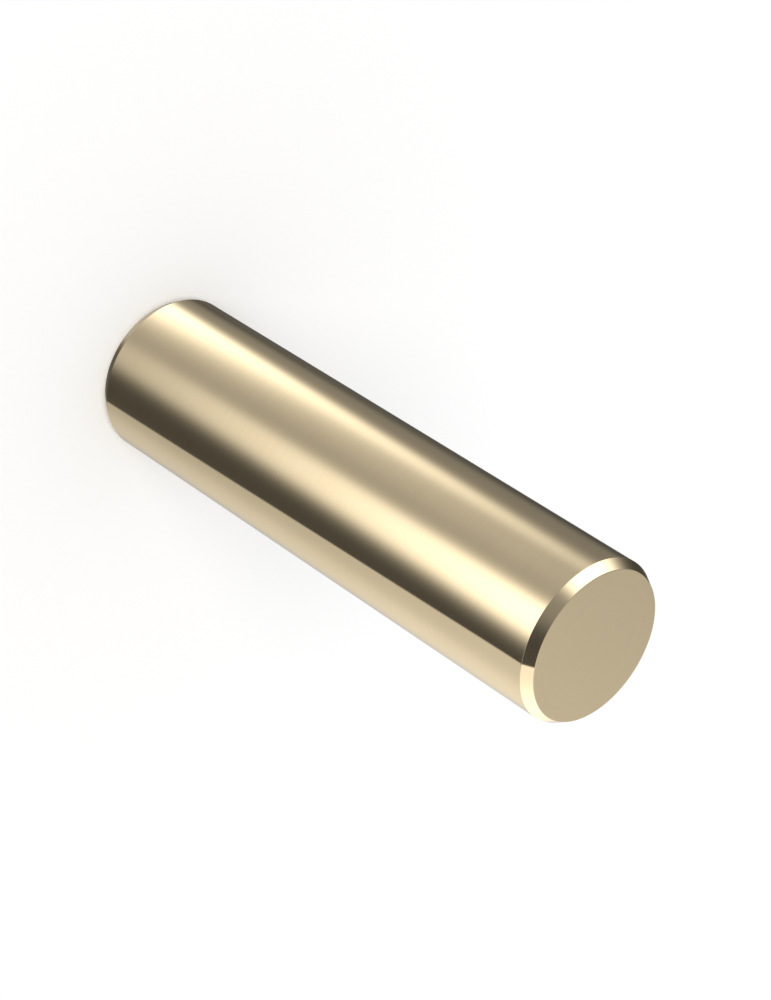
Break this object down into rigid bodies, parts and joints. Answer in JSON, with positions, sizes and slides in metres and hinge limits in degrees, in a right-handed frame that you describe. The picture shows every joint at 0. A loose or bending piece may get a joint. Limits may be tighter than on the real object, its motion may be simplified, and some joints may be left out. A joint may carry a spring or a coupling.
{
  "type": "bearing pin",
  "caption": "Plain round brass bearing pin with flat ends and a short lead-in chamfer at each end.",
  "frame": {"origin": "centre of the lower end face, on the pin's axis", "axes": "+Z along the pin's axis from the lower end face to the upper one; X and Y are free, since the pin is round"},
  "size_m": [0.012, 0.012, 0.045],
  "materials": {
    "turned_brass": "pale brass, finely turned and polished, clean and unworn"
  },
  "bodies": {
    "root": {"bearing_pin": "turned_brass"}
  },
  "joints": []
}
